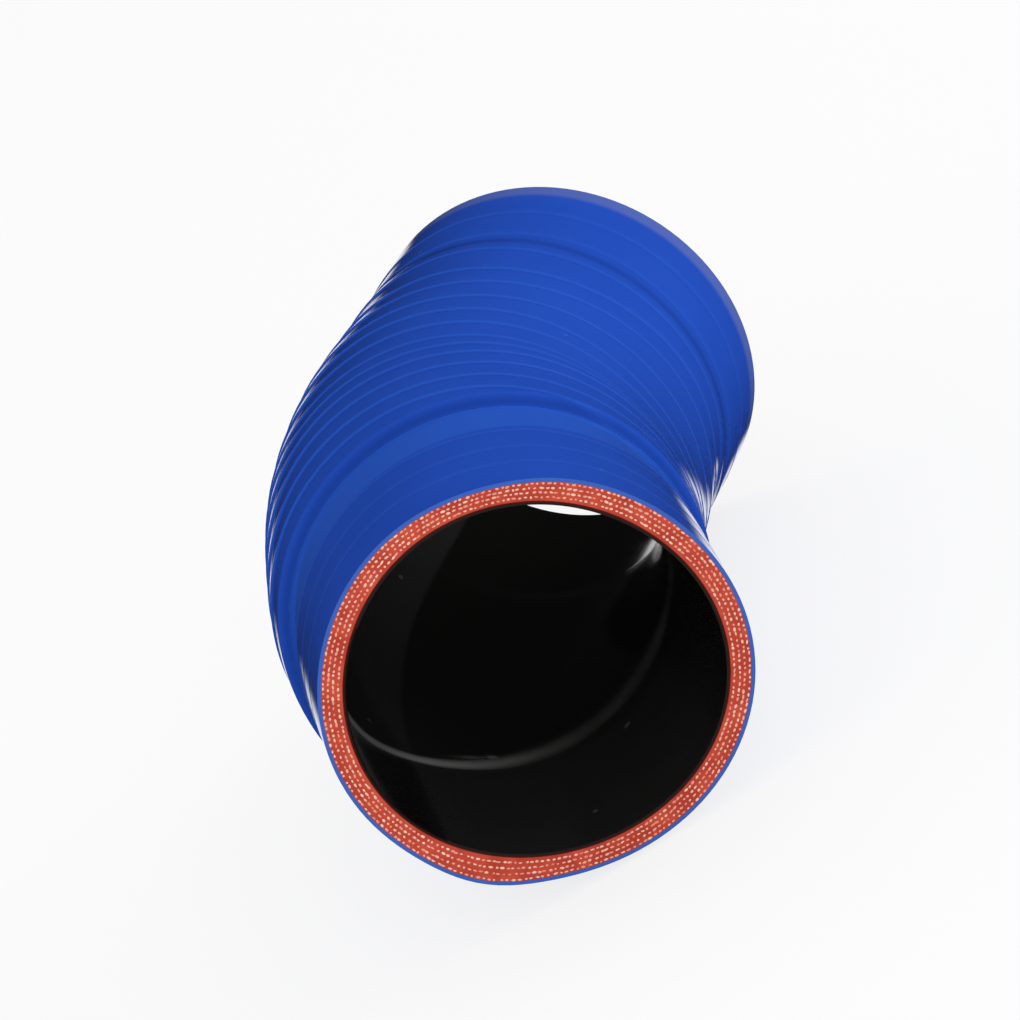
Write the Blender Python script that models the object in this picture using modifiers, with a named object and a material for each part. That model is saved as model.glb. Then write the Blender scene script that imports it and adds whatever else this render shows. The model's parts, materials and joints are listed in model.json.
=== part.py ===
"""Moulded silicone charge-air elbow hose: liner, fabric-reinforced wall and tape-wrapped cover.

The hose is drawn straight, as rings turned round its centreline, and is then bent along that line.
Units are metres, +Z is up, and the hose lies on its side with its near mouth facing -Y.
"""

import math

import bmesh
import bpy
from mathutils import Euler, Vector

# Section of the straight ends
BORE_DIAMETER = 0.0635
LINER_THICKNESS = 0.00065
PLIES_THICKNESS = 0.0036
COVER_THICKNESS = 0.00075

# Centreline
NEAR_LEG = 0.0383
BEND_RADIUS = 0.137
BEND_ANGLE = math.radians(27.0)
FAR_LEG = 0.0340

# Outside: two cuffs and the swollen body between them
NEAR_CUFF = 0.0342
NEAR_RAMP = 0.0024
FAR_CUFF = 0.0250
FAR_GROOVE = 0.0015
FAR_RAMP = 0.0038
CUFF_HOLLOW = 0.00015
BODY_SWELL_NEAR = 0.00185
BODY_SWELL_MIDDLE = 0.00225
BODY_SWELL_FAR = 0.00065

# Edges left by the curing tape
TAPE_STEP = 0.00035
TAPE_EDGE = 0.0003
CUFF_TAPE_RISE = 0.00018
CUFF_TAPE_PITCH = 0.0076
NEAR_PLAIN_BAND = 0.0114
BODY_TAPE_PITCH = 0.00625
FAR_TAPE_BAND = 0.0099

# Inside: the bore closes in a little where the bend starts
BORE_STEP = 0.0007
BORE_STEP_LENGTH = 0.0018
BORE_STEP_SETBACK = 0.0024

# How the hose settles when it is laid down, on the swell of its body and the rim of its far cuff
REST_PITCH = math.radians(1.7)
REST_ROLL = math.radians(9.0)

RING_STEPS = 48
BEND_SECTION = math.radians(3.0)

BEND_LENGTH = BEND_RADIUS * BEND_ANGLE
LENGTH = NEAR_LEG + BEND_LENGTH + FAR_LEG
BORE = BORE_DIAMETER / 2
LINER_OUTSIDE = BORE + LINER_THICKNESS
PLIES_OUTSIDE = LINER_OUTSIDE + PLIES_THICKNESS
CUFF_OUTSIDE = PLIES_OUTSIDE + COVER_THICKNESS
BODY_START = NEAR_CUFF + NEAR_RAMP
BODY_END = LENGTH - FAR_CUFF


def clear_scene():
    for scene_object in list(bpy.data.objects):
        bpy.data.objects.remove(scene_object, do_unlink=True)


def make_collection(name):
    collection = bpy.data.collections.new(name)
    bpy.context.scene.collection.children.link(collection)
    return collection


def make_material(name, color, roughness):
    material = bpy.data.materials.new(name)
    material.use_nodes = True
    shader = material.node_tree.nodes["Principled BSDF"]
    shader.inputs["Base Color"].default_value = (*color, 1.0)
    shader.inputs["Roughness"].default_value = roughness
    shader.inputs["Metallic"].default_value = 0.0
    return material


def body_radius(place):
    """Radius over the body's tape edges: a parabola through its two ends and its middle."""
    share = (place - BODY_START) / (BODY_END - BODY_START)
    near = BODY_SWELL_NEAR * (1 - share) * (1 - 2 * share)
    middle = BODY_SWELL_MIDDLE * 4 * share * (1 - share)
    far = BODY_SWELL_FAR * share * (2 * share - 1)
    return CUFF_OUTSIDE + near + middle + far


def near_cuff_edges():
    """Places of the tape edges on the near cuff, before its plain band."""
    taped = NEAR_CUFF - NEAR_PLAIN_BAND
    turns = max(1, round(taped / CUFF_TAPE_PITCH))
    return [taped * turn / turns for turn in range(1, turns + 1)]


def body_edges():
    """Places of the tape edges on the body, after the one at its start."""
    turns = max(2, round((BODY_END - BODY_START) / BODY_TAPE_PITCH))
    return [BODY_START + (BODY_END - BODY_START) * turn / turns for turn in range(1, turns + 1)]


def tape_edge(place, radius):
    """The low side of one tape edge and its high side, as (place, radius) pairs."""
    return [(place - TAPE_EDGE, radius - TAPE_STEP), (place, radius)]


def follow_bend(outline):
    """The outline with a section added at each step of the bend that has none near it."""
    steps = max(2, round(BEND_ANGLE / BEND_SECTION))
    step = BEND_LENGTH / steps
    followed = [outline[0]]
    for (place, radius), (next_place, next_radius) in zip(outline, outline[1:]):
        for number in range(steps + 1):
            section = NEAR_LEG + number * step
            if place + step / 2 < section < next_place - step / 2:
                share = (section - place) / (next_place - place)
                followed.append((section, radius + share * (next_radius - radius)))
        followed.append((next_place, next_radius))
    return followed


def cover_outline():
    """Outside of the cover from the near mouth to the far one."""
    points = [(0.0, CUFF_OUTSIDE)]
    for place in near_cuff_edges():
        points += tape_edge(place, CUFF_OUTSIDE + CUFF_TAPE_RISE)
    points.append((NEAR_CUFF, CUFF_OUTSIDE - CUFF_HOLLOW))
    points.append((BODY_START, body_radius(BODY_START)))
    for place in body_edges():
        points += tape_edge(place, body_radius(place))
    groove_end = BODY_END + FAR_GROOVE
    points.append((groove_end, CUFF_OUTSIDE - CUFF_HOLLOW))
    points.append((groove_end + FAR_RAMP, CUFF_OUTSIDE + TAPE_STEP))
    points += tape_edge(LENGTH - FAR_TAPE_BAND, CUFF_OUTSIDE + CUFF_TAPE_RISE)
    points.append((LENGTH, CUFF_OUTSIDE))
    return follow_bend(points)


def plies_outline():
    """Outside of the reinforced wall, which the cover lies on."""
    drop = TAPE_STEP + COVER_THICKNESS
    points = [(0.0, PLIES_OUTSIDE), (NEAR_CUFF, PLIES_OUTSIDE - CUFF_HOLLOW)]
    points.append((BODY_START + COVER_THICKNESS, body_radius(BODY_START) - drop))
    points += [(place, body_radius(place) - drop) for place in body_edges()]
    points.append((BODY_END + FAR_GROOVE + FAR_RAMP, PLIES_OUTSIDE))
    points.append((LENGTH, PLIES_OUTSIDE))
    return follow_bend(points)


def bore_outline(radius):
    """A surface inside the hose: full radius in the straight ends, and closed in a little in the bend."""
    near = NEAR_LEG + BORE_STEP_SETBACK
    far = LENGTH - FAR_LEG - BORE_STEP_SETBACK
    points = [
        (0.0, radius),
        (near, radius),
        (near + BORE_STEP_LENGTH, radius - BORE_STEP),
        (far - BORE_STEP_LENGTH, radius - BORE_STEP),
        (far, radius),
        (LENGTH, radius),
    ]
    return follow_bend(points)


def make_centreline(collection):
    """Near leg, bend and far leg in one plane, as two straight runs joined by an arc."""
    ahead = Vector((0.0, 1.0, 0.0))
    away = Vector((math.sin(BEND_ANGLE), math.cos(BEND_ANGLE), 0.0))
    chord = Vector((1 - math.cos(BEND_ANGLE), math.sin(BEND_ANGLE), 0.0))
    bend_start = ahead * NEAR_LEG
    bend_end = bend_start + BEND_RADIUS * chord
    arc_handle = BEND_RADIUS * 4 / 3 * math.tan(BEND_ANGLE / 4)
    knots = [
        (Vector(), ahead, NEAR_LEG / 3, NEAR_LEG / 3),
        (bend_start, ahead, NEAR_LEG / 3, arc_handle),
        (bend_end, away, arc_handle, FAR_LEG / 3),
        (bend_end + away * FAR_LEG, away, FAR_LEG / 3, FAR_LEG / 3),
    ]
    curve = bpy.data.curves.new("centreline", "CURVE")
    curve.dimensions = "3D"
    curve.resolution_u = 64
    spline = curve.splines.new("BEZIER")
    spline.bezier_points.add(len(knots) - 1)
    for point, (place, direction, behind, before) in zip(spline.bezier_points, knots):
        point.co = place
        point.handle_left_type = point.handle_right_type = "FREE"
        point.handle_left = place - direction * behind
        point.handle_right = place + direction * before
    guide = bpy.data.objects.new("centreline", curve)
    guide.hide_render = True
    guide.display_type = "WIRE"
    collection.objects.link(guide)
    return guide


def make_layer(name, outside, inside, diagonal, material, guide, collection):
    """One bonded layer: its outside and inside outlines as one closed profile, turned and then bent.

    Layers that meet split their shared faces along the same diagonals, so they fit exactly.
    """
    across = Vector((math.cos(REST_ROLL), math.sin(REST_ROLL), 0.0))
    along = Vector((0.0, 0.0, 1.0))
    shape = bmesh.new()
    corners = []
    for place, radius in outside[::-1] + inside:
        corners.append(shape.verts.new(across * radius + along * place))
    for corner, following in zip(corners, corners[1:] + corners[:1]):
        shape.edges.new((corner, following))
    mesh = bpy.data.meshes.new(name)
    shape.to_mesh(mesh)
    shape.free()
    mesh.materials.append(material)
    layer = bpy.data.objects.new(name, mesh)
    collection.objects.link(layer)
    turn = layer.modifiers.new("turn", "SCREW")
    turn.steps = turn.render_steps = RING_STEPS
    turn.use_smooth_shade = True
    bend = layer.modifiers.new("bend", "CURVE")
    bend.object = guide
    bend.deform_axis = "POS_Z"
    facets = layer.modifiers.new("facets", "TRIANGULATE")
    facets.quad_method = diagonal
    return layer


def stand_on_floor(pivot, layers):
    """Moves the hose so that the middle of the underside of its box is the origin."""
    bpy.context.view_layer.update()
    graph = bpy.context.evaluated_depsgraph_get()
    corners = []
    for layer in layers:
        evaluated = layer.evaluated_get(graph)
        corners += [evaluated.matrix_world @ vertex.co for vertex in evaluated.data.vertices]
    low = Vector([min(corner[axis] for corner in corners) for axis in range(3)])
    high = Vector([max(corner[axis] for corner in corners) for axis in range(3)])
    pivot.location -= Vector(((low.x + high.x) / 2, (low.y + high.y) / 2, low.z))


def build_hose():
    clear_scene()
    parts = make_collection("charge_air_elbow_hose")
    guides = make_collection("guides")
    guide = make_centreline(guides)
    blue = make_material("blue_silicone_cover", (0.024, 0.092, 0.515), 0.45)
    red = make_material("red_silicone_and_fabric", (0.55, 0.06, 0.02), 0.6)
    black = make_material("black_liner", (0.01, 0.01, 0.01), 0.35)
    cover = cover_outline()
    plies = plies_outline()
    liner = bore_outline(LINER_OUTSIDE)
    bore = bore_outline(BORE)
    layers = [
        make_layer("outer_cover", cover, plies, "FIXED_ALTERNATE", blue, guide, parts),
        make_layer("reinforced_wall", plies, liner, "FIXED", red, guide, parts),
        make_layer("inner_liner", liner, bore, "FIXED_ALTERNATE", black, guide, parts),
    ]
    pivot = bpy.data.objects.new("hose_pivot", None)
    pivot.rotation_mode = "YXZ"
    pivot.rotation_euler = Euler((REST_PITCH, REST_ROLL, 0.0), "YXZ")
    parts.objects.link(pivot)
    for child in layers + [guide]:
        child.parent = pivot
    stand_on_floor(pivot, layers)


build_hose()
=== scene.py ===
"""Looks of a moulded silicone charge-air elbow: liner, reinforced wall, thread ends and blue cover."""

import json
import math

import bpy
from mathutils import Matrix, Vector


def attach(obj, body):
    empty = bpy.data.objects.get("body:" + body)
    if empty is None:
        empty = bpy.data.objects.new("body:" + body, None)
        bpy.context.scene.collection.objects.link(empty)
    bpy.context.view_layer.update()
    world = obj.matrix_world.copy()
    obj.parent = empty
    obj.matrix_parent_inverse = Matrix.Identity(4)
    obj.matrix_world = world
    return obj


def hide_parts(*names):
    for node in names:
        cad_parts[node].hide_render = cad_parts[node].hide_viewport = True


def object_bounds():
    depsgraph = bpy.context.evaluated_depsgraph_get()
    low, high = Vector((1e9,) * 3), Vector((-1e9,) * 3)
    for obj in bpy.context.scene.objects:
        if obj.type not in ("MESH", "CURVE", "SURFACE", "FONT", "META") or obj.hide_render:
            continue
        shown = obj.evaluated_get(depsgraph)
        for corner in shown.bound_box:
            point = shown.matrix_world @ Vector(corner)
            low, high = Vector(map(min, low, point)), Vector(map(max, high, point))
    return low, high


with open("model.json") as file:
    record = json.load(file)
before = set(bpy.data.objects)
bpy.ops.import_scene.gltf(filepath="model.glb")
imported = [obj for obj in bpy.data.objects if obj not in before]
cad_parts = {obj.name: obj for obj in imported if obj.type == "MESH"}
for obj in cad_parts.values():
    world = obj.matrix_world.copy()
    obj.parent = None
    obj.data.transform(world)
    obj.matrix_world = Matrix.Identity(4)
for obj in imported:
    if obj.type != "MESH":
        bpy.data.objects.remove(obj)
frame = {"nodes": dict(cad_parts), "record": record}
cad_low, cad_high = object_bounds()


# Inner liner
# A thin tube of black silicone, the first layer to go on the mandrel. It lines the bore, and it
# closes in a little where the mandrel's pipe-sized ends meet its bend. Moulded smooth and glossy.

BEND_RADIUS = 0.137
BORE_STEP = 0.0007
BORE_STEP_SETBACK = 0.0012
BORE_STEP_LENGTH = 0.008
STEP_CRISP = 0.0011
STEP_CRISP_SIDE = math.radians(215)
STEP_CRISP_POWER = 4.0
STEP_EARLY = 0.015
STEP_EARLY_SIDE = math.radians(180)
STEP_LATE = 0.003
STEP_LATE_SIDE = math.radians(325)
STEP_SIDE_POWER = 12.0
LEDGE_SHARE = 0.4
LEDGE_LEAST_WIDTH = 0.0001
# How pale the painted highlight on the step's ledge is, all round and where the step is crisp
LEDGE_HIGHLIGHT = 0.13
CRISP_LEDGE_HIGHLIGHT = 0.8
MOUTH_LIGHT_FADE = 0.002
FAR_STEP_PLACE = 0.0355
FAR_STEP_LENGTH = 0.006
FLAP_ANGLE = math.radians(243)
FLAP_WIDTH = math.radians(6)
FLAP_PAST_STEP = 0.0034
FLAP_LENGTH = 0.0006
FLAP_SCUFF = 0.35
FLAP_END_ANGLE = math.radians(249.5)
FLAP_END_WIDTH = math.radians(1.6)
FLAP_END_SCUFF = 0.8
MOUTH_OVAL = 0.0006
MOUTH_OVAL_TURN = math.radians(-39)
MOUTH_LOBES = 0.00028
MOUTH_LOBES_TURN = math.radians(92)
SPRUNG_LENGTH = 0.036
AROUND = 120
LINER_AROUND = 240
LINER_ROWS_OUTSIDE = 20
LINER_ROWS_INSIDE = 340
ON_FACE = 0.00003
WELD = 0.000001
ROUNDING = 0.0001
CUT_EDGE_ANGLE = math.radians(40)


def rim(node, mount):
    """Centre, smallest radius and largest radius of the ring that a node shows on a cut end."""
    point = Vector(mount["pos_m"])
    way = Vector(mount["axis"]).normalized()
    on_face = set()
    for vertex in frame["nodes"][node].data.vertices:
        if abs((vertex.co - point).dot(way)) < ON_FACE:
            on_face.add(tuple(round(value, 6) for value in vertex.co))
    centre = sum((Vector(place) for place in on_face), Vector()) / len(on_face)
    radii = [(Vector(place) - centre).length for place in on_face]
    return centre, min(radii), max(radii)


mounts = {mount["name"]: mount for mount in frame["record"]["mounts"]}
near_centre, bore, liner_outside = rim("inner_liner", mounts["near_cut_end"])
far_centre = rim("inner_liner", mounts["far_cut_end"])[0]

# The hose's own axes: ahead along the near leg, aside towards the inside of the bend, and up
ahead = -Vector(mounts["near_cut_end"]["axis"]).normalized()
away = Vector(mounts["far_cut_end"]["axis"]).normalized()
bend_angle = ahead.angle(away)
aside = (away - ahead * away.dot(ahead)).normalized()
up = aside.cross(ahead)
hose_place = Matrix.Translation(near_centre) @ Matrix((aside, ahead, up)).transposed().to_4x4()

# The two straight legs run on to one corner, a tangent's length past each end of the bend
tangent = BEND_RADIUS * math.tan(bend_angle / 2)
far_run = (far_centre - near_centre).dot(aside) / math.sin(bend_angle)
near_run = (far_centre - near_centre).dot(ahead) - far_run * math.cos(bend_angle)
near_leg = near_run - tangent
far_leg = far_run - tangent
length = near_leg + BEND_RADIUS * bend_angle + far_leg


def calculate(tree, operation, *values):
    """A Math node fed with sockets or plain numbers. Gives its result's socket."""
    node = tree.nodes.new("ShaderNodeMath")
    node.operation = operation
    for socket, value in zip(node.inputs, values):
        if isinstance(value, bpy.types.NodeSocket):
            tree.links.new(value, socket)
        else:
            socket.default_value = value
    return node.outputs[0]


def add_up(tree, *values):
    total = values[0]
    for value in values[1:]:
        total = calculate(tree, "ADD", total, value)
    return total


def times(tree, *values):
    product = values[0]
    for value in values[1:]:
        product = calculate(tree, "MULTIPLY", product, value)
    return product


def rise_between(tree, value, start, end, kind="SMOOTHSTEP"):
    """0 before start and 1 after end, with an even or a smooth rise between them."""
    node = tree.nodes.new("ShaderNodeMapRange")
    node.interpolation_type = kind
    for name, number in (("Value", value), ("From Min", start), ("From Max", end)):
        if isinstance(number, bpy.types.NodeSocket):
            tree.links.new(number, node.inputs[name])
        else:
            node.inputs[name].default_value = number
    return node.outputs["Result"]


def hump(tree, value, middle, width):
    """A bell of height 1 round a middle."""
    share = calculate(tree, "DIVIDE", calculate(tree, "SUBTRACT", value, middle), width)
    return calculate(tree, "POWER", math.e, times(tree, share, share, -1.0))


def on_side(tree, angle, side, power):
    """1 on one side of the hose and 0 on the other, with no seam between them."""
    turned = calculate(tree, "COSINE", calculate(tree, "SUBTRACT", angle, side))
    return calculate(tree, "POWER", add_up(tree, times(tree, turned, 0.5), 0.5), power)


def vector_of(tree, x, y, z):
    node = tree.nodes.new("ShaderNodeCombineXYZ")
    for socket, value in zip(node.inputs, (x, y, z)):
        if isinstance(value, bpy.types.NodeSocket):
            tree.links.new(value, socket)
        else:
            socket.default_value = value
    return node.outputs[0]


def new_tree(name, inputs, outputs, kind="GeometryNodeTree"):
    """An empty node tree with named inputs and outputs. Gives it, its inputs' sockets and its output."""
    tree = bpy.data.node_groups.new(name, kind)
    for socket, value in inputs.items():
        made = tree.interface.new_socket(socket, in_out="INPUT", socket_type="NodeSocketFloat")
        made.default_value = value
    for socket, socket_type in outputs.items():
        tree.interface.new_socket(socket, in_out="OUTPUT", socket_type=socket_type)
    entry = tree.nodes.new("NodeGroupInput")
    given = {socket: entry.outputs[socket] for socket in inputs}
    return tree, given, tree.nodes.new("NodeGroupOutput")


def use(tree, group, **values):
    """A node group placed in a tree, fed by name. An underline in a name stands for a space."""
    kind = "GeometryNodeGroup" if tree.bl_idname == "GeometryNodeTree" else "ShaderNodeGroup"
    node = tree.nodes.new(kind)
    node.node_tree = group
    for name, value in values.items():
        socket = node.inputs[name.replace("_", " ").capitalize()]
        if isinstance(value, bpy.types.NodeSocket):
            tree.links.new(value, socket)
        else:
            socket.default_value = value
    return node


def make_sheet_places():
    """Where a point of a flat grid lies on a layer: how far along, at what angle, outside or inside.

    The grid's rows run over the outside from the near end to the far one, and back over the inside.
    The last row lies on the first one and closes the near cut face.
    """
    tree, given, end = new_tree(
        "sheet_places",
        {"Rows outside": 100.0, "Rows inside": 100.0, "Length": length, "Setback": 0.0},
        {"Along": "NodeSocketFloat", "Angle": "NodeSocketFloat", "Outside": "NodeSocketFloat"},
    )
    position = tree.nodes.new("GeometryNodeInputPosition")
    apart = tree.nodes.new("ShaderNodeSeparateXYZ")
    tree.links.new(position.outputs[0], apart.inputs[0])
    rows = add_up(tree, given["Rows outside"], given["Rows inside"], 2.0)
    row = calculate(tree, "ROUND", times(tree, add_up(tree, apart.outputs["Y"], 0.5), rows))
    outside = calculate(tree, "LESS_THAN", row, add_up(tree, given["Rows outside"], 0.5))
    back = calculate(tree, "SUBTRACT", calculate(tree, "SUBTRACT", row, given["Rows outside"]), 1.0)
    back = calculate(tree, "DIVIDE", back, given["Rows inside"])
    last = calculate(tree, "GREATER_THAN", back, 1.0 + ROUNDING)
    forth = calculate(tree, "DIVIDE", row, given["Rows outside"])
    back = calculate(tree, "SUBTRACT", 1.0, back)
    within = calculate(tree, "SUBTRACT", 1.0, outside)
    share = add_up(tree, times(tree, outside, forth), times(tree, within, back))
    share = calculate(tree, "MAXIMUM", calculate(tree, "MINIMUM", share, 1.0), 0.0)
    angle = times(tree, apart.outputs["X"], 2 * math.pi)
    run = calculate(tree, "SUBTRACT", given["Length"], times(tree, given["Setback"], 2.0))
    along = add_up(tree, given["Setback"], times(tree, share, run))
    tree.links.new(along, end.inputs["Along"])
    tree.links.new(add_up(tree, angle, math.pi / 2), end.inputs["Angle"])
    tree.links.new(calculate(tree, "MAXIMUM", outside, last), end.inputs["Outside"])
    return tree


def make_bend():
    """The place of a point on the bent hose, from how far along it is, its angle and its radius."""
    sizes = {"Along": 0.0, "Angle": 0.0, "Radius": 0.0}
    sizes.update({"Near leg": near_leg, "Bend radius": BEND_RADIUS, "Bend angle": bend_angle})
    tree, given, end = new_tree("bent_along_centreline", sizes, {"Place": "NodeSocketVector"})
    past_leg = calculate(tree, "SUBTRACT", given["Along"], given["Near leg"])
    turn = calculate(tree, "DIVIDE", past_leg, given["Bend radius"])
    turn = calculate(tree, "MINIMUM", calculate(tree, "MAXIMUM", turn, 0.0), given["Bend angle"])
    sine = calculate(tree, "SINE", turn)
    cosine = calculate(tree, "COSINE", turn)
    arc = times(tree, given["Bend radius"], given["Bend angle"])
    beyond = calculate(tree, "MAXIMUM", calculate(tree, "SUBTRACT", past_leg, arc), 0.0)
    before = calculate(tree, "MINIMUM", given["Along"], given["Near leg"])
    sideways = times(tree, given["Radius"], calculate(tree, "COSINE", given["Angle"]))
    height = times(tree, given["Radius"], calculate(tree, "SINE", given["Angle"]))
    inwards = times(tree, given["Bend radius"], calculate(tree, "SUBTRACT", 1.0, cosine))
    x = add_up(tree, inwards, times(tree, beyond, sine), times(tree, sideways, cosine))
    y = add_up(tree, before, times(tree, given["Bend radius"], sine), times(tree, beyond, cosine))
    y = calculate(tree, "SUBTRACT", y, times(tree, sideways, sine))
    tree.links.new(vector_of(tree, x, y, height), end.inputs["Place"])
    return tree


def make_mouth_oval():
    """How far the cut cuffs have sprung out of round, which fades towards the body."""
    sizes = {"Along": 0.0, "Angle": 0.0, "Oval": MOUTH_OVAL, "Oval turn": MOUTH_OVAL_TURN}
    sizes.update({"Lobes": MOUTH_LOBES, "Lobes turn": MOUTH_LOBES_TURN})
    tree, given, end = new_tree("mouth_oval", sizes, {"Height": "NodeSocketFloat"})
    height = 0.0
    for name, sides in (("Oval", 2.0), ("Lobes", 3.0)):
        turned = times(tree, calculate(tree, "SUBTRACT", given["Angle"], given[name + " turn"]), sides)
        height = add_up(tree, height, times(tree, calculate(tree, "COSINE", turned), given[name]))
    near = calculate(tree, "SUBTRACT", 1.0, rise_between(tree, given["Along"], 0.0, SPRUNG_LENGTH))
    tree.links.new(times(tree, height, near), end.inputs["Height"])
    return tree


sheet_places = make_sheet_places()
bent_along_centreline = make_bend()
mouth_oval = make_mouth_oval()


def store(tree, geometry, name, value):
    node = tree.nodes.new("GeometryNodeStoreNamedAttribute")
    node.data_type = "FLOAT"
    node.domain = "POINT"
    node.inputs["Name"].default_value = name
    tree.links.new(geometry, node.inputs["Geometry"])
    tree.links.new(value, node.inputs["Value"])
    return node.outputs["Geometry"]


def make_layer_tree(name, rows_outside, rows_inside, sizes, outside_shape, inside_shape, material):
    """A closed layer of the hose. Each shape adds the nodes for one side's radius and its marks."""
    inputs = {"Rows outside": float(rows_outside), "Rows inside": float(rows_inside)}
    inputs.update({"Around": float(AROUND), "Length": length, "Setback": 0.0})
    inputs.update({"Near leg": near_leg, "Bend radius": BEND_RADIUS, "Bend angle": bend_angle})
    inputs.update(sizes)
    tree, given, end = new_tree(name, inputs, {"Geometry": "NodeSocketGeometry"})
    places = use(tree, sheet_places, rows_outside=given["Rows outside"],
                 rows_inside=given["Rows inside"], length=given["Length"], setback=given["Setback"])
    along, angle, outside = (places.outputs[output] for output in ("Along", "Angle", "Outside"))
    grid = tree.nodes.new("GeometryNodeMeshGrid")
    grid.inputs["Size X"].default_value = 1.0
    grid.inputs["Size Y"].default_value = 1.0
    rows = add_up(tree, given["Rows outside"], given["Rows inside"], 3.0)
    tree.links.new(add_up(tree, given["Around"], 1.0), grid.inputs["Vertices X"])
    tree.links.new(rows, grid.inputs["Vertices Y"])
    outer, outer_marks = outside_shape(tree, given, along, angle)
    inner, inner_marks = inside_shape(tree, given, along, angle)
    within = calculate(tree, "SUBTRACT", 1.0, outside)
    radius = add_up(tree, times(tree, outer, outside), times(tree, inner, within))
    geometry = store(tree, grid.outputs["Mesh"], "along", along)
    for mark in sorted(set(outer_marks) | set(inner_marks)):
        value = add_up(tree, times(tree, outer_marks.get(mark, 0.0), outside),
                       times(tree, inner_marks.get(mark, 0.0), within))
        geometry = store(tree, geometry, mark, value)
    bent = use(tree, bent_along_centreline, along=along, angle=angle, radius=radius,
               near_leg=given["Near leg"], bend_radius=given["Bend radius"],
               bend_angle=given["Bend angle"])
    move = tree.nodes.new("GeometryNodeSetPosition")
    tree.links.new(geometry, move.inputs["Geometry"])
    tree.links.new(bent.outputs["Place"], move.inputs["Position"])
    weld = tree.nodes.new("GeometryNodeMergeByDistance")
    weld.inputs["Distance"].default_value = WELD
    tree.links.new(move.outputs[0], weld.inputs["Geometry"])
    outward = tree.nodes.new("GeometryNodeFlipFaces")
    tree.links.new(weld.outputs[0], outward.inputs["Mesh"])
    finish_tree(tree, outward.outputs[0], material, end)
    return tree


def finish_tree(tree, geometry, material, end):
    real = tree.nodes.new("GeometryNodeRealizeInstances")
    coat = tree.nodes.new("GeometryNodeSetMaterial")
    coat.inputs["Material"].default_value = material
    tree.links.new(geometry, real.inputs["Geometry"])
    tree.links.new(real.outputs["Geometry"], coat.inputs["Geometry"])
    tree.links.new(coat.outputs["Geometry"], end.inputs["Geometry"])


def grow(name, tree, sizes):
    """Runs a tree with the given sizes and makes its result a plain mesh piece on the hose."""
    seed = bpy.data.objects.new(name + "_seed", bpy.data.meshes.new(name + "_seed"))
    bpy.context.scene.collection.objects.link(seed)
    modifier = seed.modifiers.new("build", "NODES")
    modifier.node_group = tree
    for item in tree.interface.items_tree:
        if item.in_out == "INPUT" and item.name in sizes:
            modifier[item.identifier] = sizes[item.name]
    graph = bpy.context.evaluated_depsgraph_get()
    mesh = bpy.data.meshes.new_from_object(
        seed.evaluated_get(graph), preserve_all_data_layers=True, depsgraph=graph
    )
    bpy.data.objects.remove(seed, do_unlink=True)
    mesh.name = name
    mesh.transform(hose_place)
    piece = bpy.data.objects.new(name, mesh)
    bpy.context.scene.collection.objects.link(piece)
    mesh.shade_smooth()
    return piece


def new_material(name, color, roughness):
    material = bpy.data.materials.new(name)
    material.use_nodes = True
    shader = material.node_tree.nodes["Principled BSDF"]
    shader.inputs["Base Color"].default_value = (*color, 1.0)
    shader.inputs["Roughness"].default_value = roughness
    return material, material.node_tree, shader


def attribute(tree, name):
    node = tree.nodes.new("ShaderNodeAttribute")
    node.attribute_name = name
    return node.outputs["Fac"]


def mix_colors(tree, share, first, second):
    node = tree.nodes.new("ShaderNodeMix")
    node.data_type = "RGBA"
    tree.links.new(share, node.inputs["Factor"])
    for socket, color in ((node.inputs["A"], first), (node.inputs["B"], second)):
        if isinstance(color, bpy.types.NodeSocket):
            tree.links.new(color, socket)
        else:
            socket.default_value = (*color, 1.0)
    return node.outputs["Result"]


def bump(tree, shader, height, distance, strength=1.0):
    node = tree.nodes.new("ShaderNodeBump")
    node.inputs["Strength"].default_value = strength
    node.inputs["Distance"].default_value = distance
    tree.links.new(height, node.inputs["Height"])
    tree.links.new(node.outputs["Normal"], shader.inputs["Normal"])


def make_silicone_grain():
    """Cured silicone's surface: fine grain, broad clouding and sparse dust, each from 0 to 1."""
    tree, given, end = new_tree(
        "silicone_grain",
        {"Grain scale": 2600.0, "Cloud scale": 55.0, "Dust scale": 420.0, "Dust share": 0.02},
        {"Grain": "NodeSocketFloat", "Cloud": "NodeSocketFloat", "Dust": "NodeSocketFloat"},
        "ShaderNodeTree",
    )
    place = tree.nodes.new("ShaderNodeTexCoord").outputs["Object"]
    for output, scale, detail in (("Grain", "Grain scale", 3.0), ("Cloud", "Cloud scale", 2.0)):
        node = tree.nodes.new("ShaderNodeTexNoise")
        node.inputs["Detail"].default_value = detail
        tree.links.new(place, node.inputs["Vector"])
        tree.links.new(given[scale], node.inputs["Scale"])
        tree.links.new(node.outputs["Fac"], end.inputs[output])
    cells = tree.nodes.new("ShaderNodeTexVoronoi")
    tree.links.new(place, cells.inputs["Vector"])
    tree.links.new(given["Dust scale"], cells.inputs["Scale"])
    apart = tree.nodes.new("ShaderNodeSeparateColor")
    tree.links.new(cells.outputs["Color"], apart.inputs["Color"])
    chosen = calculate(tree, "LESS_THAN", apart.outputs[0], given["Dust share"])
    off_speck = rise_between(tree, cells.outputs["Distance"], start=0.1, end=0.22)
    speck = calculate(tree, "SUBTRACT", 1.0, off_speck)
    tree.links.new(times(tree, chosen, speck), end.inputs["Dust"])
    return tree


silicone_grain = make_silicone_grain()


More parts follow.
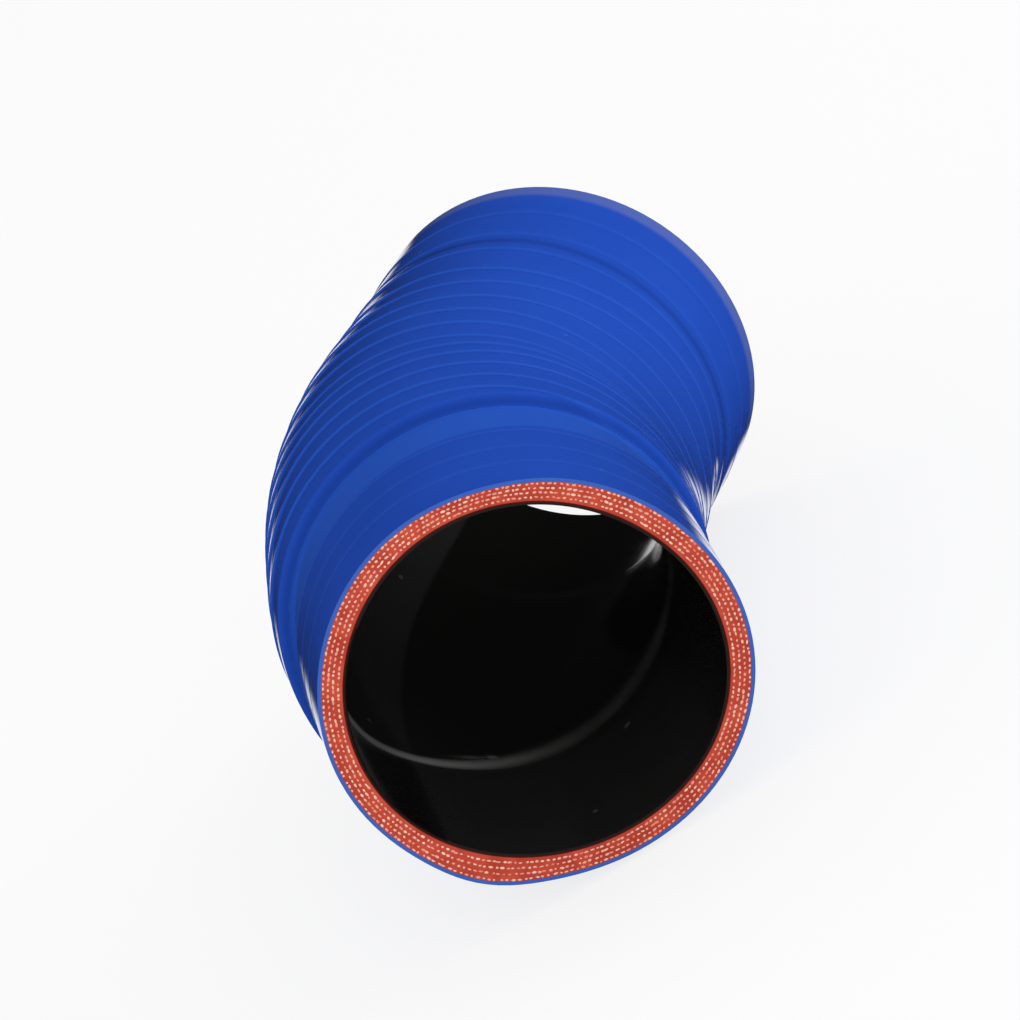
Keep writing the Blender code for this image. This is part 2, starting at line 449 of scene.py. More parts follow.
def black_silicone():
    deep_black = (0.006, 0.006, 0.0055)
    mouth_lit_black = (0.018, 0.018, 0.0175)
    dark_highlight_and_scuff = (0.08, 0.08, 0.08)
    pale_highlight_and_scuff = (0.42, 0.41, 0.4)
    dust = (0.07, 0.065, 0.06)
    wall_red = (0.1, 0.014, 0.008)
    gloss_roughness, cloud_roughness, dust_roughness = 0.09, 0.06, 0.4
    material, tree, shader = new_material("black_silicone_liner", deep_black, gloss_roughness)
    grain = use(tree, silicone_grain, grain_scale=900.0, cloud_scale=70.0,
                dust_scale=260.0, dust_share=0.012)
    # These pale and dark colours serve both the painted highlight on the step's ledge and the pale mark of
    # the torn flap.
    highlight_and_scuff_color = mix_colors(tree, grain.outputs["Cloud"], dark_highlight_and_scuff, pale_highlight_and_scuff)
    # Painted light: the bore from the mouth to its step is painted lighter than deeper in, for the light
    # that falls in at the mouth.
    rubbed = mix_colors(tree, attribute(tree, "rubbed"), deep_black, mouth_lit_black)
    highlighted_and_scuffed = mix_colors(tree, attribute(tree, "scuff"), rubbed, highlight_and_scuff_color)
    dusty = mix_colors(tree, grain.outputs["Dust"], highlighted_and_scuffed, dust)
    bleed = calculate(tree, "POWER", attribute(tree, "bleed"), 2.0)
    color = mix_colors(tree, bleed, dusty, wall_red)
    tree.links.new(color, shader.inputs["Base Color"])
    rough = add_up(tree, gloss_roughness, times(tree, grain.outputs["Cloud"], cloud_roughness))
    rough = add_up(tree, rough, times(tree, grain.outputs["Dust"], dust_roughness))
    tree.links.new(rough, shader.inputs["Roughness"])
    bump(tree, shader, grain.outputs["Grain"], distance=0.00002, strength=0.5)
    return material


def liner_back(tree, given, along, angle):
    """The liner's outside, which the wall is wound on. Its cut edge takes some colour from the wall."""
    oval = use(tree, mouth_oval, along=along, angle=angle).outputs[0]
    radius = add_up(tree, given["Liner outside"], oval, bore_closing(tree, given, along, angle))
    return radius, {"bleed": 1.0}


def liner_face(tree, given, along, angle):
    """The bore, with a painted highlight on the ledge of its step, a small torn flap of skin behind it
    that is marked paler, and painted light near the mouth.
    """
    oval = use(tree, mouth_oval, along=along, angle=angle).outputs[0]
    start = step_place(tree, given, angle)
    crisp, spread = step_spread(tree, given, angle)
    # Painted highlight on the step's ledge: strong where the step is crisp and faint all round. The torn
    # flap behind it is a real pale mark.
    middle = add_up(tree, start, times(tree, spread, LEDGE_SHARE))
    width = add_up(tree, LEDGE_LEAST_WIDTH, times(tree, spread, LEDGE_SHARE))
    amount = add_up(tree, LEDGE_HIGHLIGHT, times(tree, crisp, crisp, CRISP_LEDGE_HIGHLIGHT))
    scuff = times(tree, hump(tree, along, middle, width), amount)
    behind = hump(tree, along, add_up(tree, start, FLAP_PAST_STEP), FLAP_LENGTH)
    flap = times(tree, behind, hump(tree, angle, FLAP_ANGLE, FLAP_WIDTH), FLAP_SCUFF)
    flap_end = hump(tree, angle, FLAP_END_ANGLE, FLAP_END_WIDTH)
    flap_end = times(tree, behind, flap_end, FLAP_END_SCUFF)
    scuff = calculate(tree, "MAXIMUM", scuff, calculate(tree, "MAXIMUM", flap, flap_end))
    # Painted light: the bore is lighter from the mouth to the step, and fades out just before the step.
    past_mouth_light = rise_between(tree, along, near_leg - MOUTH_LIGHT_FADE, start)
    rubbed = calculate(tree, "SUBTRACT", 1.0, past_mouth_light)
    radius = add_up(tree, given["Bore"], oval, bore_closing(tree, given, along, angle))
    return radius, {"scuff": scuff, "rubbed": rubbed}


def step_place(tree, given, angle):
    """Where the bore's near step starts. It runs aslant, as the end of the mandrel's pipe does."""
    early = times(tree, on_side(tree, angle, STEP_EARLY_SIDE, STEP_SIDE_POWER), -STEP_EARLY)
    late = times(tree, on_side(tree, angle, STEP_LATE_SIDE, STEP_SIDE_POWER), STEP_LATE)
    return add_up(tree, given["Near leg"], given["Step setback"], early, late)


def step_spread(tree, given, angle):
    """How crisp the bore's step is at an angle, and how far it is drawn out."""
    crisp = on_side(tree, angle, STEP_CRISP_SIDE, STEP_CRISP_POWER)
    sharper = calculate(tree, "SUBTRACT", STEP_CRISP, given["Step length"])
    return crisp, add_up(tree, given["Step length"], times(tree, crisp, sharper))


def bore_closing(tree, given, along, angle):
    """The bore's step inwards, at both ends of the bend, and crisp on one side of the near one."""
    spread = step_spread(tree, given, angle)[1]
    near = step_place(tree, given, angle)
    far = length - FAR_STEP_PLACE
    closing = rise_between(tree, along, near, add_up(tree, near, spread))
    opening = rise_between(tree, along, far, far + FAR_STEP_LENGTH)
    return times(tree, calculate(tree, "SUBTRACT", closing, opening), given["Bore step"], -1.0)


liner_sizes = {
    "Bore": bore,
    "Liner outside": liner_outside,
    "Bore step": BORE_STEP,
    "Step setback": BORE_STEP_SETBACK,
    "Step length": BORE_STEP_LENGTH,
    "Around": float(LINER_AROUND),
}
liner_tree = make_layer_tree(
    "liner", LINER_ROWS_OUTSIDE, LINER_ROWS_INSIDE, liner_sizes, liner_back, liner_face, black_silicone()
)
liner = grow("black_liner", liner_tree, liner_sizes)
liner.data.set_sharp_from_angle(angle=CUT_EDGE_ANGLE)
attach(liner, "root")
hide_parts("inner_liner")


# Reinforced wall
# Four plies of polyester fabric in orange-red silicone, wound over the liner and cured with it.
# Only its cut faces show, a little fuzzy from the saw, with one lap where the outermost ply ends.

FACE_SETBACK = 0.00008
LAP_ANGLE = math.radians(236)
LAP_POWER = 51.0
LAP_RISE = 0.001
THIN_ANGLE = math.radians(86)
THIN_POWER = 33.0
THIN_DROP = 0.00053
LAP_FADE_START = 0.004
LAP_FADE_END = 0.034
WALL_ROWS = 60

plies_outside = rim("reinforced_wall", mounts["near_cut_end"])[2]


def make_ply_lap():
    """The low lump along the cuff where the fabric laps over itself, and the place where it is thin."""
    sizes = {"Along": 0.0, "Angle": 0.0, "Lap angle": LAP_ANGLE, "Lap power": LAP_POWER}
    sizes.update({"Lap rise": LAP_RISE, "Thin angle": THIN_ANGLE, "Thin power": THIN_POWER})
    sizes["Thin drop"] = THIN_DROP
    tree, given, end = new_tree("ply_lap", sizes, {"Height": "NodeSocketFloat"})
    lump = on_side(tree, given["Angle"], given["Lap angle"], given["Lap power"])
    thin = on_side(tree, given["Angle"], given["Thin angle"], given["Thin power"])
    height = calculate(
        tree, "SUBTRACT", times(tree, lump, given["Lap rise"]), times(tree, thin, given["Thin drop"])
    )
    faded = rise_between(tree, given["Along"], LAP_FADE_START, LAP_FADE_END)
    left = calculate(tree, "SUBTRACT", 1.0, faded)
    tree.links.new(times(tree, height, left), end.inputs["Height"])
    return tree


ply_lap = make_ply_lap()


def wall_back(tree, given, along, angle):
    """The wall's outside, under the cover."""
    oval = use(tree, mouth_oval, along=along, angle=angle).outputs[0]
    lap = use(tree, ply_lap, along=along, angle=angle).outputs[0]
    return add_up(tree, given["Plies outside"], oval, lap), {}


def wall_face(tree, given, along, angle):
    """The wall's inside, on the liner, whose step it follows."""
    oval = use(tree, mouth_oval, along=along, angle=angle).outputs[0]
    return add_up(tree, given["Liner outside"], oval, bore_closing(tree, given, along, angle)), {}


def red_silicone():
    deep = (0.46, 0.042, 0.022)
    bright = (0.6, 0.072, 0.038)
    material, tree, shader = new_material("red_silicone_wall", bright, roughness=0.6)
    shader.inputs["Specular IOR Level"].default_value = 0.25
    grain = use(tree, silicone_grain, grain_scale=1700.0, cloud_scale=260.0)
    cloud = rise_between(tree, grain.outputs["Cloud"], start=0.3, end=0.7)
    tree.links.new(mix_colors(tree, cloud, deep, bright), shader.inputs["Base Color"])
    bump(tree, shader, grain.outputs["Grain"], distance=0.00006, strength=0.8)
    return material


wall_sizes = {
    "Setback": FACE_SETBACK,
    "Plies outside": plies_outside,
    "Liner outside": liner_outside,
    "Bore step": BORE_STEP,
    "Step setback": BORE_STEP_SETBACK,
    "Step length": BORE_STEP_LENGTH,
}
wall_tree = make_layer_tree(
    "wall", WALL_ROWS, WALL_ROWS, wall_sizes, wall_back, wall_face, red_silicone()
)
wall = grow("fabric_reinforced_wall", wall_tree, wall_sizes)
wall.data.set_sharp_from_angle(angle=CUT_EDGE_ANGLE)
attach(wall, "root")
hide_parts("reinforced_wall")


# Thread ends
# The cut ends of the fabric's polyester threads, in four rows round each cut face, one a ply.
# The saw leaves them as small pale tufts that stand a hair above the silicone.

THREAD_ROWS = 4
THREAD_PITCH = 0.00102
THREAD_LENGTH = 0.00074
THREAD_HEIGHT = 0.00042
THREAD_STAND = 0.00007
FIRST_ROW_IN = 0.0003
ROW_SPACING = 0.00086
ROW_STAGGER = 0.37
ROW_WANDER = 0.0003
ROW_WANDER_SCALE = 2.3
LAP_LOST_PER_ROW = 0.25
PITCH_JITTER = 0.2
RADIUS_JITTER = 0.00006
LEAN_JITTER = 0.22
SHORTEST, LONGEST = 0.55, 1.25
LOWEST, HIGHEST = 0.7, 1.15
LEAST_SLACK = 0.7
MORE_SLACK = 0.6
SLACK_SCALE = 4.0
TUFT_SEGMENTS = 8
TUFT_RINGS = 5
NEXT_ROW_IN_NOISE = 7.3


def pale_thread():
    """Pale yarn with fine fibres, in every shade from clean to stained by the red silicone."""
    rubber_stained = (0.78, 0.26, 0.18)
    clean = (0.94, 0.6, 0.46)
    material, tree, shader = new_material("polyester_thread", clean, roughness=0.75)
    shader.inputs["Specular IOR Level"].default_value = 0.2
    color = mix_colors(tree, attribute(tree, "tint"), rubber_stained, clean)
    tree.links.new(color, shader.inputs["Base Color"])
    fibres = tree.nodes.new("ShaderNodeTexNoise")
    fibres.inputs["Scale"].default_value = 6000.0
    place = tree.nodes.new("ShaderNodeTexCoord").outputs["Object"]
    tree.links.new(place, fibres.inputs["Vector"])
    bump(tree, shader, fibres.outputs["Fac"], distance=0.00003)
    return material


def random_between(tree, low, high, seed):
    """A random plain number for each point. Its sockets share their names, so they go by place."""
    node = tree.nodes.new("FunctionNodeRandomValue")
    node.data_type = "FLOAT"
    node.inputs[2].default_value = low
    node.inputs[3].default_value = high
    node.inputs["Seed"].default_value = seed
    return node.outputs[1]


def make_thread_tree(material):
    """Rows of thread ends on one cut face. Face is 0 at the near end and 1 at the far end."""
    inputs = {"Rows": float(THREAD_ROWS), "Pitch": THREAD_PITCH, "Row spacing": ROW_SPACING}
    inputs.update({"Outer row": plies_outside - FIRST_ROW_IN, "Thread length": THREAD_LENGTH})
    inputs.update({"Thread height": THREAD_HEIGHT, "Stand": THREAD_STAND, "Setback": FACE_SETBACK})
    inputs.update({"Face": 0.0, "Length": length})
    inputs.update({"Near leg": near_leg, "Bend radius": BEND_RADIUS, "Bend angle": bend_angle})
    tree, given, end = new_tree("thread_ends", inputs, {"Geometry": "NodeSocketGeometry"})
    way_round = times(tree, given["Outer row"], 2 * math.pi)
    per_row = calculate(tree, "FLOOR", calculate(tree, "DIVIDE", way_round, given["Pitch"]))
    points = tree.nodes.new("GeometryNodePoints")
    tree.links.new(times(tree, per_row, given["Rows"]), points.inputs["Count"])
    index = tree.nodes.new("GeometryNodeInputIndex").outputs[0]
    row = calculate(tree, "FLOOR", calculate(tree, "DIVIDE", add_up(tree, index, 0.5), per_row))
    number = calculate(tree, "SUBTRACT", index, times(tree, row, per_row))
    shift = add_up(tree, number, times(tree, row, ROW_STAGGER),
                   random_between(tree, -PITCH_JITTER, PITCH_JITTER, seed=1))
    turned = times(tree, calculate(tree, "DIVIDE", shift, per_row), 2 * math.pi)
    angle = calculate(tree, "SUBTRACT", turned, math.pi / 2)
    run = calculate(tree, "SUBTRACT", given["Length"], times(tree, given["Setback"], 2.0))
    along = add_up(tree, given["Setback"], times(tree, given["Face"], run))
    oval = use(tree, mouth_oval, along=along, angle=angle).outputs[0]
    lap = use(tree, ply_lap, along=along, angle=angle).outputs[0]
    radius = calculate(tree, "SUBTRACT", given["Outer row"], times(tree, row, given["Row spacing"]))
    outer_share = calculate(tree, "SUBTRACT", 1.0, times(tree, row, LAP_LOST_PER_ROW))
    wander = calculate(tree, "SUBTRACT", noise_round(tree, angle, row, ROW_WANDER_SCALE), 0.5)
    radius = add_up(tree, radius, oval, times(tree, lap, outer_share), times(tree, wander, ROW_WANDER))
    radius = add_up(tree, radius, random_between(tree, -RADIUS_JITTER, RADIUS_JITTER, seed=2))
    place = use(tree, bent_along_centreline, along=along, angle=angle, radius=radius,
                near_leg=given["Near leg"], bend_radius=given["Bend radius"],
                bend_angle=given["Bend angle"]).outputs["Place"]
    move = tree.nodes.new("GeometryNodeSetPosition")
    tree.links.new(points.outputs[0], move.inputs["Geometry"])
    tree.links.new(place, move.inputs["Position"])
    tuft = tree.nodes.new("GeometryNodeMeshUVSphere")
    tuft.inputs["Segments"].default_value = TUFT_SEGMENTS
    tuft.inputs["Rings"].default_value = TUFT_RINGS
    tuft.inputs["Radius"].default_value = 0.5
    stretch = random_between(tree, SHORTEST, LONGEST, seed=3)
    slack = times(tree, noise_round(tree, angle, row, SLACK_SCALE), MORE_SLACK)
    slack = add_up(tree, LEAST_SLACK, slack)
    size = vector_of(
        tree,
        times(tree, given["Thread length"], stretch, slack),
        times(tree, given["Stand"], 2.0),
        times(tree, given["Thread height"], random_between(tree, LOWEST, HIGHEST, seed=4)),
    )
    turn = tree.nodes.new("FunctionNodeEulerToRotation")
    lean = calculate(tree, "SUBTRACT", math.pi / 2, angle)
    lean = add_up(tree, lean, random_between(tree, -LEAN_JITTER, LEAN_JITTER, seed=5))
    bend = times(tree, given["Face"], given["Bend angle"], -1.0)
    tree.links.new(vector_of(tree, 0.0, lean, bend), turn.inputs[0])
    copies = tree.nodes.new("GeometryNodeInstanceOnPoints")
    tree.links.new(move.outputs[0], copies.inputs["Points"])
    tree.links.new(tuft.outputs["Mesh"], copies.inputs["Instance"])
    tree.links.new(turn.outputs[0], copies.inputs["Rotation"])
    tree.links.new(size, copies.inputs["Scale"])
    tint = tree.nodes.new("GeometryNodeStoreNamedAttribute")
    tint.data_type = "FLOAT"
    tint.domain = "INSTANCE"
    tint.inputs["Name"].default_value = "tint"
    tree.links.new(copies.outputs[0], tint.inputs["Geometry"])
    tree.links.new(random_between(tree, 0.0, 1.0, seed=6), tint.inputs["Value"])
    finish_tree(tree, tint.outputs["Geometry"], material, end)
    return tree


def noise_round(tree, angle, row, scale):
    """A slow wander round the hose that is different in each row and has no seam."""
    node = tree.nodes.new("ShaderNodeTexNoise")
    node.inputs["Scale"].default_value = scale
    across = calculate(tree, "COSINE", angle)
    upwards = calculate(tree, "SINE", angle)
    place = vector_of(tree, across, upwards, times(tree, row, NEXT_ROW_IN_NOISE))
    tree.links.new(place, node.inputs["Vector"])
    return node.outputs["Fac"]


thread_tree = make_thread_tree(pale_thread())
for piece_name, face in (("near_thread_ends", 0.0), ("far_thread_ends", 1.0)):
    threads = grow(piece_name, thread_tree, {"Face": face})
    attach(threads, "root")


# Outer cover
# Blue silicone over the plies, cured under tight nylon tape. Each turn of the tape leaves a fine
# raised edge. The turns lie across the cuffs, and lean over where the tape goes round the bend.

TAPE_CLEARANCE = 0.0001
CUFF_HOLLOW = 0.00025
HOLLOW_PAST_CUFF = 0.0006
HOLLOW_WIDTH = 0.0012
NEAR_CUFF = 0.0357
NEAR_RAMP = 0.0026
FAR_CUFF = 0.0208
FAR_RAMP = 0.0036
BODY_SWELL_NEAR = 0.00185
BODY_SWELL_MIDDLE = 0.00225
BODY_SWELL_FAR = 0.00065
TAPE_STEP = 0.0003
TAPE_RISE = 0.00018
TAPE_LIP = 0.00003
CREST_WIDTH = 0.0005
TAPE_SPREAD = 0.65
CUFF_RELIEF = 0.4
SHOULDER_SHIFT = 0.006
SHOULDER_SHIFT_SIDE = math.radians(200)
CREST_HIGHLIGHT_WIDTH = 0.0006
EDGE_FRONT = 0.0004
EDGE_BACK = 0.0058
EDGE_WANDER = 0.0006
EDGE_WANDER_SCALE = 2.2
NEXT_EDGE_IN_NOISE = 90.0
TROUGH_AHEAD = 0.0009
TROUGH_WIDTH = 0.0005
CUFF_DRIFT = 0.0072
LEAN_POWER = 5.0
BODY_DRIFT = 0.0062
RUN_OUT_SIDE = math.radians(270)
RUN_OUT_POWER = 400.0
PLAIN_START = (0.0245, 0.0255)
PLAIN_END = (0.034, 0.036)
# How much lighter the near cuff's plain band is painted, together with the crests' painted highlight
PLAIN_LIGHTER = 1.5
TROUGH_SHADE = 0.35
SHOULDER_SHADE_PLACE = NEAR_CUFF + 0.0009
SHOULDER_SHADE_WIDTH = 0.0009
FAR_SHADE = 0.7
FAR_SHADE_WIDTH = 0.0014
# Where the painted highlight along the far rim begins, and where it is full
RIM_HIGHLIGHT_START = 0.0042
RIM_HIGHLIGHT_FULL = 0.0024
CUT_DEPTH = 0.0001
COVER_ROWS_OUTSIDE = 780
COVER_ROWS_INSIDE = 20
COVER_EDGE_ANGLE = math.radians(50)

cuff_outside = rim("outer_cover", mounts["near_cut_end"])[2]

# Each tape edge: its place along the top of the hose, how far it leans over on the bend's inside,
# how far it drifts in one turn, and how high it stands
CUFF_EDGES = [(place, 0.0, CUFF_DRIFT, share) for place, share in (
    (0.0092, 0.5), (0.0164, 0.5), (0.0239, 0.6)
)]
SHOULDER_EDGES = [(0.0352, 0.0, 0.001, 0.5)]
BODY_EDGES = [(place, lean, BODY_DRIFT, 1.0) for place, lean in (
    (0.0426, -0.0100), (0.0485, -0.0060), (0.0545, -0.0040), (0.0601, -0.0040), (0.0645, -0.0080),
    (0.0688, -0.0120), (0.0752, -0.0090), (0.0816, -0.0080), (0.0876, 0.0), (0.0943, 0.0050),
    (0.1007, 0.0060),
)]
FAR_EDGES = [(0.1103, 0.0005, 0.0, 0.8), (0.1175, 0.0002, 0.0, 0.5), (0.1263, 0.0004, 0.0, 0.6)]

# Where the body stands off its even swell: how far along, over what length, on which side, how high
WAVE_POWER = 16.0
BODY_WAVES = [
    (0.038, 0.006, math.radians(195), 0.0003),
    (0.056, 0.011, math.radians(163), -0.0005),
    (0.101, 0.009, math.radians(127), -0.0005),
    (0.109, 0.006, math.radians(322), -0.0008),
]


def make_body_wave():
    """A low swelling or hollow on one side of the body."""
    sizes = {"Along": 0.0, "Angle": 0.0, "Place": 0.05, "Spread": 0.01, "Side": 0.0, "Rise": 0.0}
    tree, given, end = new_tree("body_wave", sizes, {"Height": "NodeSocketFloat"})
    side = on_side(tree, given["Angle"], given["Side"], WAVE_POWER)
    height = times(tree, side, given["Rise"], hump(tree, given["Along"], given["Place"], given["Spread"]))
    tree.links.new(height, end.inputs["Height"])
    return tree


body_wave = make_body_wave()


def make_tape_edge():
    """One raised edge: it rises sharply on its near side and falls off gently behind."""
    inputs = {"Along": 0.0, "Angle": 0.0, "Place": 0.05, "Lean": 0.0, "Drift": BODY_DRIFT}
    inputs.update({"Rise": TAPE_RISE, "Lip": TAPE_LIP, "Crest width": CREST_WIDTH, "Spread": TAPE_SPREAD})
    tree, given, end = new_tree(
        "tape_edge",
        inputs,
        {"Height": "NodeSocketFloat", "Crest": "NodeSocketFloat", "Trough": "NodeSocketFloat"},
    )
    from_top = calculate(tree, "SUBTRACT", given["Angle"], math.pi / 2)
    turn = calculate(tree, "DIVIDE", from_top, 2 * math.pi)
    inner = calculate(tree, "COSINE", given["Angle"])
    at_top = 0.5 ** LEAN_POWER
    over = calculate(tree, "POWER", add_up(tree, times(tree, inner, 0.5), 0.5), LEAN_POWER)
    over = times(tree, calculate(tree, "SUBTRACT", over, at_top), 1 / (1 - at_top))
    own_noise = times(tree, given["Place"], NEXT_EDGE_IN_NOISE)
    wander = noise_round(tree, given["Angle"], own_noise, EDGE_WANDER_SCALE)
    wander = calculate(tree, "SUBTRACT", wander, 0.5)
    place = add_up(tree, given["Place"], times(tree, given["Drift"], turn))
    place = add_up(tree, place, times(tree, given["Lean"], over), times(tree, wander, EDGE_WANDER))
    past = calculate(tree, "SUBTRACT", given["Along"], place)
    front = rise_between(tree, past, -EDGE_FRONT, 0.0)
    back = calculate(tree, "SUBTRACT", 1.0, rise_between(tree, past, 0.0, EDGE_BACK, "LINEAR"))
    crest = hump(tree, past, 0.0, given["Crest width"])
    spread = calculate(tree, "SUBTRACT", 1.0, times(tree, inner, given["Spread"]))
    height = add_up(tree, times(tree, given["Rise"], front, back), times(tree, given["Lip"], crest))
    height = times(tree, height, spread)
    tree.links.new(height, end.inputs["Height"])
    # Crest masks the painted highlight along the edge, and Trough masks the painted shade just ahead of
    # its riser.
    tree.links.new(hump(tree, past, 0.0, CREST_HIGHLIGHT_WIDTH), end.inputs["Crest"])
    tree.links.new(hump(tree, past, -TROUGH_AHEAD, TROUGH_WIDTH), end.inputs["Trough"])
    return tree


tape_edge = make_tape_edge()


def body_swell(tree, given, along, from_shoulder):
    """The body's extra radius: a parabola through its two ends and its middle, with a ramp at each."""
    start = NEAR_CUFF + NEAR_RAMP
    end = length - FAR_CUFF - FAR_RAMP
    share = calculate(tree, "DIVIDE", calculate(tree, "SUBTRACT", along, start), end - start)
    rest = calculate(tree, "SUBTRACT", 1.0, share)
    double = times(tree, share, 2.0)
    near = times(tree, given["Swell near"], rest, calculate(tree, "SUBTRACT", 1.0, double))
    middle = times(tree, given["Swell middle"], share, rest, 4.0)
    far = times(tree, given["Swell far"], share, calculate(tree, "SUBTRACT", double, 1.0))
    climb = rise_between(tree, from_shoulder, NEAR_CUFF, start)
    drop = rise_between(tree, along, end, end + FAR_RAMP)
    on_body = calculate(tree, "SUBTRACT", climb, drop)
    swell = calculate(tree, "SUBTRACT", add_up(tree, near, middle, far), given["Tape step"])
    return times(tree, swell, on_body)


def tape_edges(tree, given, along, from_shoulder, angle):
    """All the tape's edges together: their height, and the masks for the painted highlight on their crests
    and the painted shade in their troughs.
    """
    highest = [0.0, 0.0, 0.0]
    # Each group of edges, the distance it is laid out by, how much more it shows outside the bend,
    # and how much of the body's relief it has
    for edges, distance, spread, relief in (
        (CUFF_EDGES, along, 0.0, CUFF_RELIEF),
        (SHOULDER_EDGES, from_shoulder, TAPE_SPREAD, 1.0),
        (BODY_EDGES, along, TAPE_SPREAD, 1.0),
        (FAR_EDGES, along, TAPE_SPREAD, 1.0),
    ):
        for place, lean, drift, share in edges:
            rise = times(tree, given["Tape rise"], share * relief)
            lip = times(tree, given["Tape lip"], share * relief)
            edge = use(tree, tape_edge, along=distance, angle=angle, place=place, lean=lean,
                       drift=drift, spread=spread, rise=rise, lip=lip)
            made = [edge.outputs["Height"]]
            made += [times(tree, edge.outputs[mark], share) for mark in ("Crest", "Trough")]
            highest = [calculate(tree, "MAXIMUM", old, new) for old, new in zip(highest, made)]
    # On a line underneath, each edge runs out where the next one takes over
    kept = calculate(tree, "SUBTRACT", 1.0, on_side(tree, angle, RUN_OUT_SIDE, RUN_OUT_POWER))
    return [times(tree, value, kept) for value in highest]


def cover_face(tree, given, along, angle):
    """The cover's outside, with masks for painted highlights, for painted shade in its troughs and
    creases, and for the cut faces.
    """
    oval = use(tree, mouth_oval, along=along, angle=angle).outputs[0]
    lap = use(tree, ply_lap, along=along, angle=angle).outputs[0]
    outer_side = on_side(tree, angle, SHOULDER_SHIFT_SIDE, WAVE_POWER)
    from_shoulder = add_up(tree, along, times(tree, outer_side, SHOULDER_SHIFT))
    height, crest, trough = tape_edges(tree, given, along, from_shoulder, angle)
    hollow = hump(tree, from_shoulder, NEAR_CUFF + HOLLOW_PAST_CUFF, HOLLOW_WIDTH)
    swell = body_swell(tree, given, along, from_shoulder)
    radius = add_up(tree, given["Cuff outside"], height, swell, oval, lap)
    radius = add_up(tree, radius, times(tree, hollow, -CUFF_HOLLOW))
    for place, spread, side, rise in BODY_WAVES:
        wave = use(tree, body_wave, along=along, angle=angle, place=place, spread=spread,
                   side=side, rise=rise)
        radius = add_up(tree, radius, wave.outputs[0])
    before_end = calculate(tree, "SUBTRACT", 1.0, rise_between(tree, from_shoulder, *PLAIN_END))
    plain = times(tree, rise_between(tree, along, *PLAIN_START), before_end)
    far_ramp = length - FAR_CUFF - FAR_RAMP / 2
    shade = add_up(
        tree,
        times(tree, trough, TROUGH_SHADE),
        hump(tree, from_shoulder, SHOULDER_SHADE_PLACE, SHOULDER_SHADE_WIDTH),
        times(tree, hump(tree, along, far_ramp, FAR_SHADE_WIDTH), FAR_SHADE),
    )
    near_cut = calculate(tree, "LESS_THAN", along, CUT_DEPTH)
    far_cut = calculate(tree, "GREATER_THAN", along, length - CUT_DEPTH)
    return radius, {
        # Painted highlight on the tape edges' crests, with the near cuff's plain band painted lighter
        # along with it
        "crest": add_up(tree, crest, times(tree, plain, PLAIN_LIGHTER)),
        "shade": calculate(tree, "MINIMUM", shade, 1.0),
        # Painted highlight: a greyish sheen over the last few millimetres of the far rim
        "rim": rise_between(tree, along, length - RIM_HIGHLIGHT_START, length - RIM_HIGHLIGHT_FULL),
        "cut": calculate(tree, "MAXIMUM", near_cut, far_cut),
    }


def cover_back(tree, given, along, angle):
    """The cover's inside, on the plies."""
    oval = use(tree, mouth_oval, along=along, angle=angle).outputs[0]
    lap = use(tree, ply_lap, along=along, angle=angle).outputs[0]
    return add_up(tree, given["Plies outside"], oval, lap), {"cut": 1.0}


def blue_silicone():
    plain = (0.016, 0.074, 0.475)
    clouded = (0.0145, 0.068, 0.445)
    gloss_roughness, cloud_roughness = 0.06, 0.045
    material, tree, shader = new_material("blue_silicone", plain, gloss_roughness)
    grain = use(tree, silicone_grain, cloud_scale=38.0, dust_scale=330.0, dust_share=0.004)
    cloud = rise_between(tree, grain.outputs["Cloud"], start=0.3, end=0.7)
    color = mix_colors(tree, cloud, clouded, plain)
    # Each mark, how strongly it shows, and its colour
    for mark, strength, mark_color in (
        # Painted highlight on the tape edges' crests and on the near cuff's plain band
        (attribute(tree, "crest"), 0.32, (0.026, 0.115, 0.58)),
        (attribute(tree, "shade"), 0.55, (0.006, 0.034, 0.25)),
        # Painted highlight along the far rim
        (attribute(tree, "rim"), 0.95, (0.08, 0.125, 0.42)),
        (grain.outputs["Dust"], 0.12, (0.2, 0.3, 0.62)),
        (attribute(tree, "cut"), 1.0, (0.045, 0.125, 0.5)),
    ):
        color = mix_colors(tree, times(tree, mark, strength), color, mark_color)
    tree.links.new(color, shader.inputs["Base Color"])
    rough = add_up(tree, gloss_roughness, times(tree, grain.outputs["Cloud"], cloud_roughness))
    tree.links.new(rough, shader.inputs["Roughness"])
    return material


cover_sizes = {
    "Cuff outside": cuff_outside - TAPE_CLEARANCE,
    "Plies outside": plies_outside,
    "Swell near": BODY_SWELL_NEAR,
    "Swell middle": BODY_SWELL_MIDDLE,
    "Swell far": BODY_SWELL_FAR,
    "Tape step": TAPE_STEP,
    "Tape rise": TAPE_RISE,
    "Tape lip": TAPE_LIP,
}
cover_tree = make_layer_tree(
    "cover", COVER_ROWS_OUTSIDE, COVER_ROWS_INSIDE, cover_sizes, cover_face, cover_back, blue_silicone()
)
cover = grow("blue_tape_wrapped_cover", cover_tree, cover_sizes)
cover.data.set_sharp_from_angle(angle=COVER_EDGE_ANGLE)
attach(cover, "root")
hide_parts("outer_cover")


# Camera
# It looks into the near mouth from above. It is rolled, because the picture shows the hose turned
# about the line of sight from the way in which it comes to rest.

CAMERA_DISTANCE = 1.0419
CAMERA_AZIMUTH = -0.030
CAMERA_ELEVATION = 0.414
AIM_RIGHT = 0.006502
AIM_UP = 0.028206
CAMERA_ROLL = -0.375
LENS_MM = 220.5
SENSOR_MM = 36.0


